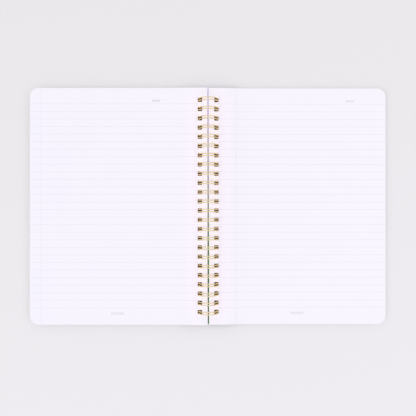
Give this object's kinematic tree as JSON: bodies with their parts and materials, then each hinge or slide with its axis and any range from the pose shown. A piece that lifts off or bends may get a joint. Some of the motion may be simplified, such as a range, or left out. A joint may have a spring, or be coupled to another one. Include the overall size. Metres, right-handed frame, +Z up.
{
  "type": "spiral notebook",
  "caption": "Open ruled notebook with a twin-loop wire binding, lying flat, its covers and blocks of pages swinging about the rings.",
  "frame": {"origin": "on the table, under the middle of the spine at half the height of the pages", "axes": "X across the spread with the right-hand page at +X, Y along the spine towards the heads of the pages, Z up"},
  "size_m": [0.328, 0.2178, 0.0169],
  "materials": {
    "binding_wire": "pale gold, shiny",
    "front_card": "soft matt card",
    "left_paper": "smooth ruled paper",
    "right_paper": "smooth ruled paper",
    "back_card": "soft matt card"
  },
  "bodies": {
    "binding": {"twin_loop_wire": "binding_wire"},
    "front_leaf": {"front_cover": "front_card"},
    "left_block": {"left_pages": "left_paper"},
    "right_block": {"right_pages": "right_paper"},
    "back_leaf": {"back_cover": "back_card"}
  },
  "joints": [
    {"name": "front_cover_swing", "type": "hinge", "parent": "binding", "child": "front_leaf", "pos_m": [0, 0, 0.00768], "axis": [0, 1, 0], "range_deg": [0, 180]},
    {"name": "left_pages_turn", "type": "hinge", "parent": "front_leaf", "child": "left_block", "pos_m": [0, 0, 0.00768], "axis": [0, 1, 0], "range_deg": [0, 180]},
    {"name": "back_cover_swing", "type": "hinge", "parent": "binding", "child": "back_leaf", "pos_m": [0, 0, 0.00768], "axis": [0, -1, 0], "range_deg": [0, 180]},
    {"name": "right_pages_turn", "type": "hinge", "parent": "back_leaf", "child": "right_block", "pos_m": [0, 0, 0.00768], "axis": [0, -1, 0], "range_deg": [0, 180]}
  ]
}
